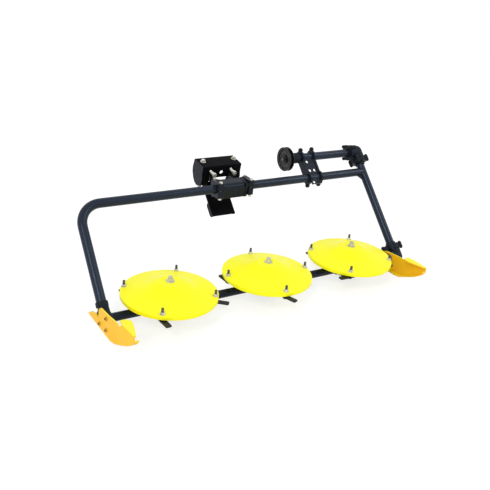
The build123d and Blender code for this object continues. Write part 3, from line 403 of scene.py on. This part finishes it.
class Piece:
    """One mesh made up of turned and hexagonal forms and beads, a finish for each."""

    def __init__(self, name, body, slot):
        self.name, self.body, self.slot = name, body, slot
        self.mesh = bmesh.new()
        self.finishes = []

    def surface(self, rows, finish, capped=True):
        """Skin over rows of points, each row a ring."""
        if finish not in self.finishes:
            self.finishes.append(finish)
        index = self.finishes.index(finish)
        rings = [[self.mesh.verts.new(point) for point in row] for row in rows]
        faces = []
        for lower, upper in zip(rings, rings[1:]):
            count = len(lower)
            for i in range(count):
                j = (i + 1) % count
                faces.append(self.mesh.faces.new((lower[i], lower[j], upper[j], upper[i])))
        if capped:
            faces.append(self.mesh.faces.new(list(reversed(rings[0]))))
            faces.append(self.mesh.faces.new(rings[-1]))
        for face in faces:
            face.material_index = index
            face.smooth = True

    def turned(self, place, profile, finish, steps=TURNED_STEPS):
        """Form of revolution from (radius, height) pairs in millimetres."""
        angles = [2 * pi * i / steps for i in range(steps)]
        self.surface([
            [
                place @ Vector((radius * MM * cos(angle), radius * MM * sin(angle), height * MM))
                for angle in angles
            ]
            for radius, height in profile
        ], finish)

    def hexagon(self, place, radius, low, high, finish):
        """Hexagon head or nut between two heights, its corners turned off at both ends."""
        chamfer = CHAMFER * radius
        end, between = CHAMFER_END * radius, CHAMFER_MIDDLE * radius

        def reach(angle, limit):
            flat = radius * cos(pi / 6) / cos(angle % (pi / 3) - pi / 6)
            return min(flat, limit)

        rows = []
        for height, limit in (
            (low, end), (low + chamfer / 2, between), (low + chamfer, radius),
            (high - chamfer, radius), (high - chamfer / 2, between), (high, end),
        ):
            row = []
            for i in range(HEXAGON_STEPS):
                angle = 2 * pi * i / HEXAGON_STEPS
                size = reach(angle, limit) * MM
                row.append(place @ Vector((size * cos(angle), size * sin(angle), height * MM)))
            rows.append(row)
        self.surface(rows, finish)

    def thread(self, place, radius, low, high, finish, pitch=1.5):
        """Threaded rod with a turned point at its upper end."""
        profile = [(radius, low)]
        turns = max(1, int((high - low - pitch) / pitch))
        for turn in range(turns):
            start = low + turn * pitch
            profile += [
                (radius, start + ROOT_START * pitch),
                (ROOT * radius, start + ROOT_MIDDLE * pitch),
                (radius, start + pitch),
            ]
        profile += [(radius, high - TIP_HEIGHT * pitch), (TIP * radius, high)]
        self.turned(place, profile, finish, steps=THREAD_STEPS)

    def bead(self, path, width, finish, closed=False, ripple=0.12):
        """Bead along a path of points, with a weld's ripple at every step."""
        angles = [2 * pi * i / BEAD_STEPS for i in range(BEAD_STEPS)]
        count = len(path)
        rows = []
        for i, point in enumerate(path):
            before = path[i - 1] if i or closed else point
            after = path[(i + 1) % count] if i + 1 < count or closed else point
            place = axis_frame(point, after - before)
            size = width / 2 * MM * (1 + (ripple if i % 2 else -ripple))
            rows.append([
                place @ Vector((size * cos(angle), size * sin(angle), 0)) for angle in angles
            ])
        if closed:
            rows.append(rows[0])
        self.surface(rows, finish, capped=not closed)

    def done(self, *replaced):
        """Make the object, let it ride on its body and stand for the CAD nodes."""
        data = bpy.data.meshes.new(self.name)
        self.mesh.to_mesh(data)
        self.mesh.free()
        data.set_sharp_from_angle(angle=SHARP)
        for finish in self.finishes:
            data.materials.append(finish)
        made = bpy.data.objects.new(self.name, data)
        scene.collection.objects.link(made)
        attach(made, self.body)
        if replaced:
            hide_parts(*replaced)


def washer_profile(bore, radius, low, high, edge, top_edge):
    """Turned profile of a washer, its upper edge broken wider."""
    return [
        (bore, low), (radius - edge, low), (radius, low + edge),
        (radius, high - edge), (radius - top_edge, high), (bore, high),
    ]


WELDED = 0.001                          # points closer than this are one, in millimetres


def islands(node):
    """Points of each separate solid of a CAD node."""
    mesh = bmesh.new()
    mesh.from_mesh(nodes[node].data)
    bmesh.ops.remove_doubles(mesh, verts=mesh.verts, dist=WELDED * MM)
    found, seen = [], set()
    for start in mesh.verts:
        if start in seen:
            continue
        seen.add(start)
        group, waiting = [], [start]
        while waiting:
            vertex = waiting.pop()
            group.append(vertex.co.copy())
            for edge in vertex.link_edges:
                other = edge.other_vert(vertex)
                if other not in seen:
                    seen.add(other)
                    waiting.append(other)
        found.append(group)
    mesh.free()
    return found


def spans(points, axes):
    """Lowest and highest reach of the points along each axis."""
    return [
        (min(p.dot(axis) for p in points), max(p.dot(axis) for p in points)) for axis in axes
    ]


def head_axis(points, axes):
    """Of the axes, the one across which a flat head is thinnest."""
    return min(zip(axes, spans(points, axes)), key=lambda pair: pair[1][1] - pair[1][0])[0]


def average(points):
    return sum(points, Vector()) / len(points)


# ---------------------------------------------------------------- bolts of the frame
THREAD_SHARE, THREAD_OUT = 0.5, 1.5     # a thread's radius in a head's, and how far it stands out

frame_axes = (ALONG_BAR, up_columns, across_frame)
for node in (
    "lower_gearbox_bolts", "upper_gearbox_bolts", "support_bolts",
    "shoe_bolts_left", "shoe_bolts_right",
):
    bolts = Piece(node + "_turned", "frame", slots[node])
    for points in islands(node):
        axis = head_axis(points, frame_axes)
        centre = average(points)
        low, high = spans(points, (axis,))[0]
        half = (high - low) / MM / 2
        corner = max(
            points, key=lambda p: (p - centre - axis * (p - centre).dot(axis)).length
        ) - centre
        radius = (corner - axis * corner.dot(axis)).length / MM
        place = axis_frame(centre, axis, corner)
        bolts.hexagon(place, radius, -half, half, finishes[slots[node]])
        bolts.thread(place, THREAD_SHARE * radius, -half - THREAD_OUT, half + THREAD_OUT, dark)
    bolts.done(node)

COLLAR_HEAD, COLLAR_HEAD_RADIUS, COLLAR_SHANK = 6.0, 7.0, 4.0
COLLAR_THREAD, COLLAR_TIP = 3.7, 2.0    # the thread's radius, and how far it stands out
for side in ("left", "right"):
    node = f"collar_bolts_{side}"
    bolts = Piece(node + "_turned", "frame", slots[node])
    for points in islands(node):
        (low, high), = spans(points, (UPRIGHT,))
        centre = average(points)
        place = axis_frame(Vector((centre.x, centre.y, low)), UPRIGHT)
        length = (high - low) / MM
        seat = length - COLLAR_HEAD
        bolts.turned(place, [(COLLAR_SHANK, COLLAR_HEAD), (COLLAR_SHANK, seat)], zinc)
        bolts.hexagon(place, COLLAR_HEAD_RADIUS, 0, COLLAR_HEAD, zinc)
        bolts.hexagon(place, COLLAR_HEAD_RADIUS, seat, length, zinc)
        bolts.thread(place, COLLAR_THREAD, -COLLAR_TIP, seat, dark)
    bolts.done(node)

# ---------------------------------------------------------------- hitch screws
SCREW, HEAD, NUT, SCREW_PITCH = 5.0, 8.5, 9.0, 2.0
HEAD_HEIGHT, NUT_HEIGHT, NUT_RISE, STUD_TIP = 10.0, 9.0, 10.0, 3.0
SCREW_WASHER, SCREW_WASHER_HEIGHT = 11.0, 1.6
HEAD_EDGE, HEAD_ROUND = 0.4, 1.0
SOCKET, SOCKET_DEPTH, SOCKET_POINT, SOCKET_END = 4.4, 4.5, 1.0, 5.0
hitch_back = Vector(mounts["hitch_pin_hole"]["axis"]).normalized()
hitch_up = ALONG_BAR.cross(hitch_back)

screws = Piece("hitch_screws_turned", "hitch", slots["hitch_screws"])
for points in islands("hitch_screws"):
    (back_low, back_high), (up_low, up_high) = spans(points, (hitch_back, hitch_up))
    x = (min(p.x for p in points) + max(p.x for p in points)) / 2
    if up_high - up_low > back_high - back_low:
        length = (up_high - up_low) / MM
        foot = ALONG_BAR * x + hitch_back * (back_low + back_high) / 2 + hitch_up * up_low
        place = axis_frame(foot, hitch_up, ALONG_BAR)
        washer = length - NUT_HEIGHT - STUD_TIP
        nut_seat = washer + SCREW_WASHER_HEIGHT
        screws.thread(place, SCREW, 0, length, zinc, pitch=SCREW_PITCH)
        screws.hexagon(place, NUT, NUT_RISE, NUT_RISE + NUT_HEIGHT, zinc)
        screws.turned(place, [
            (SCREW, washer), (SCREW_WASHER, washer), (SCREW_WASHER, nut_seat), (SCREW, nut_seat),
        ], zinc)
        screws.hexagon(place, NUT, nut_seat, length - STUD_TIP, zinc)
    else:
        length = (back_high - back_low) / MM
        foot = ALONG_BAR * x + hitch_up * (up_low + up_high) / 2 + hitch_back * back_high
        place = axis_frame(foot, -hitch_back, ALONG_BAR)
        seat = length - HEAD_HEIGHT
        screws.thread(place, SCREW, 0, seat, zinc, pitch=SCREW_PITCH)
        screws.turned(place, [
            (SCREW, seat), (HEAD - HEAD_EDGE, seat), (HEAD, seat + HEAD_EDGE),
            (HEAD, length - HEAD_ROUND), (HEAD - HEAD_ROUND, length), (SCREW, length),
            (SOCKET, length - SOCKET_DEPTH), (SOCKET_POINT, length - SOCKET_END),
        ], zinc)
screws.done("hitch_screws")

# ---------------------------------------------------------------- disc fasteners
DISC_SHEET = 3.0

# Knife bolts, from the head below the knife up to the stud's tip.
KNIFE_HEAD, KNIFE_HEAD_RADIUS, KNIFE_SLEEVE, BUSH = 5.0, 8.5, 4.8, 7.0
SPACER, STUD, STUD_PITCH, WASHER, KNIFE_NUT = 7.4, 4.5, 1.25, 9.5, 7.5
KNIFE_TIP, KNIFE_NUT_HEIGHT, KNIFE_WASHER, KNIFE_EDGES = 14.0, 7.0, 1.6, (0.3, 0.4)

# Spindles, from their foot up to the stud's tip.
SPINDLE, SPINDLE_FOOT, FLANGE, FLANGE_HEIGHT, FLANGE_EDGE = 10.0, 1, 28.0, 5.0, 0.6
SPINDLE_STUD, SPINDLE_WASHER, SPINDLE_NUT = 8.0, 15.0, 10.5
STUD_ABOVE, WASHER_HEIGHT, SPINDLE_EDGES, NUT_THICKNESS = 18.0, 2.5, (0.4, 0.6), 9.0

for side in ("left", "middle", "right"):
    node = f"knife_bolts_{side}"
    low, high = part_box(node)
    tip = (high.z - low.z) / MM
    nut_top = tip - KNIFE_TIP
    washer = nut_top - KNIFE_NUT_HEIGHT - KNIFE_WASHER
    nut_seat = washer + KNIFE_WASHER
    bush_top = KNIFE_HEAD + KNIFE_SLEEVE
    bolts = Piece(node + "_turned", f"disc_{side}", slots[node])
    for number in range(1, 5):
        pivot = places[f"knife_{side}_{number}_swing"]
        place = axis_frame(Vector((pivot.x, pivot.y, low.z)), UPRIGHT)
        bolts.hexagon(place, KNIFE_HEAD_RADIUS, 0, KNIFE_HEAD, dark)
        bolts.turned(place, [
            (BUSH, KNIFE_HEAD), (BUSH, bush_top), (SPACER, bush_top), (SPACER, washer - DISC_SHEET),
        ], dark)
        bolts.turned(place, washer_profile(STUD, WASHER, washer, nut_seat, *KNIFE_EDGES), zinc)
        bolts.hexagon(place, KNIFE_NUT, nut_seat, nut_top, zinc)
        bolts.thread(place, STUD, washer - DISC_SHEET, tip, stud, pitch=STUD_PITCH)
    bolts.done(node)

    node = f"spindle_{side}"
    low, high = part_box(node)
    tip = (high.z - low.z) / MM
    disc_top = tip - STUD_ABOVE
    seat = disc_top - DISC_SHEET
    flange = seat - FLANGE_HEIGHT
    nut_seat = disc_top + WASHER_HEIGHT
    centre = places[f"disc_{side}_spin"]
    place = axis_frame(Vector((centre.x, centre.y, low.z)), UPRIGHT)
    spindle = Piece(node + "_turned", f"disc_{side}", slots[node])
    spindle.turned(place, [
        (SPINDLE - SPINDLE_FOOT, 0), (SPINDLE, SPINDLE_FOOT), (SPINDLE, flange),
        (FLANGE - FLANGE_EDGE, flange), (FLANGE, flange + FLANGE_EDGE), (FLANGE, seat),
        (SPINDLE_STUD, seat),
    ], finishes["black_casting"], steps=ROUND_STEPS)
    spindle.turned(
        place,
        washer_profile(SPINDLE_STUD, SPINDLE_WASHER, disc_top, nut_seat, *SPINDLE_EDGES),
        zinc, steps=ROUND_STEPS)
    spindle.hexagon(place, SPINDLE_NUT, nut_seat, nut_seat + NUT_THICKNESS, zinc)
    spindle.thread(place, SPINDLE_STUD, seat, tip, zinc)
    spindle.done(node)

# ---------------------------------------------------------------- pulley's rings and bolt
PULLEY_WIDTH = 18.0
SEAL, SEAL_WIDTH, SEAL_EDGE, SEAL_FOOT = 17.6, 4.2, 1.2, 0.3
FACE_RING, FACE_RING_WIDTH, FACE_RING_DEPTH, RING_STEPS = 29.0, 3.2, 4.6, 72
BOLT_RADIUS, BOLT_WASHER, BOLT_WASHER_HEIGHT, BOLT_WASHER_EDGE = 7.0, 11.0, 2.0, 0.4

axle = places["pulley_spin"]
low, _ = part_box("pulley")
place = axis_frame(Vector((low.x + PULLEY_WIDTH * MM, axle.y, axle.z)), ALONG_BAR)
seal = Piece("pulley_seal", "pulley", "zinc_steel")
seal.turned(place, [
    (SEAL - SEAL_EDGE, SEAL_FOOT), (SEAL, 2 * SEAL_FOOT),
    (SEAL, SEAL_WIDTH - SEAL_FOOT), (SEAL - SEAL_EDGE, SEAL_WIDTH),
], zinc, steps=ROUND_STEPS)
seal.done()

# Painted highlight: a light steel bead on the pulley's face, standing in for the light ring that
# the turned face shows.
centre = Vector((low.x + FACE_RING_DEPTH * MM, axle.y, axle.z))
angles = [2 * pi * i / RING_STEPS for i in range(RING_STEPS)]
highlight_ring = Piece("pulley_highlight_ring", "pulley", slots["pulley"])
highlight_ring.bead(
    [centre + Vector((0, cos(angle), sin(angle))) * FACE_RING * MM for angle in angles],
    FACE_RING_WIDTH, stud, closed=True, ripple=0.0,
)
highlight_ring.done()

low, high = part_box("pulley_bolt")
place = axis_frame(Vector((high.x, axle.y, axle.z)), -ALONG_BAR)
bolt = Piece("pulley_bolt_turned", "pulley", slots["pulley_bolt"])
bolt.turned(place, [
    (BOLT_WASHER, 0), (BOLT_WASHER, BOLT_WASHER_HEIGHT - BOLT_WASHER_EDGE),
    (BOLT_WASHER - BOLT_WASHER_EDGE, BOLT_WASHER_HEIGHT),
], dark)
bolt.hexagon(place, BOLT_RADIUS, BOLT_WASHER_HEIGHT, (high.x - low.x) / MM, stud)
bolt.done("pulley_bolt")

# ---------------------------------------------------------------- welds
BEAD, BEAD_STEP, SADDLE_STEPS = 4.0, 2, 44
TUBE = 17 * MM                          # the frame tubes' outer radius
# The web's seams: their runs up the frame, and their distance in front of the top tube's axis.
WEB_RUNS, WEB_ACROSS = ((18, 78), (-33, -18)), 12
# The seams on the hitch's front wall: places along the bar and the run, from the pin's hole.
WALL_PLACES, WALL_RUN, WALL_HALF = (-51.0, -43.0, 37.0, 47.0), (-20, -4), 2.5


def saddle():
    """Seam where the top tube meets the right column."""
    path = []
    for i in range(SADDLE_STEPS):
        angle = 2 * pi * i / SADDLE_STEPS
        inward = abs(cos(angle)) * TUBE
        path.append(
            Vector((right_column_x - inward, top_tube.y, top_tube.z))
            + up_columns * TUBE * cos(angle) + across_frame * TUBE * sin(angle)
        )
    return path


welds = Piece("frame_welds", "frame", "black_paint")
welds.bead(saddle(), BEAD, weld_metal, closed=True)
low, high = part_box("support_web")
for x in (low.x, high.x):
    for foot, end in WEB_RUNS:
        start = Vector((x, top_tube.y, top_tube.z)) + across_frame * WEB_ACROSS * MM
        run = range(foot, end, BEAD_STEP)
        welds.bead([start + up_columns * reach * MM for reach in run], BEAD, weld_metal)
welds.done()

pin = Vector(mounts["hitch_pin_hole"]["pos_m"])
hitch_welds = Piece("hitch_welds", "hitch", "black_paint")
for x in WALL_PLACES:
    start = pin + ALONG_BAR * x * MM - hitch_back * WALL_HALF * MM
    run = range(*WALL_RUN, BEAD_STEP)
    hitch_welds.bead([start + hitch_up * reach * MM for reach in run], BEAD, weld_metal)
hitch_welds.done()
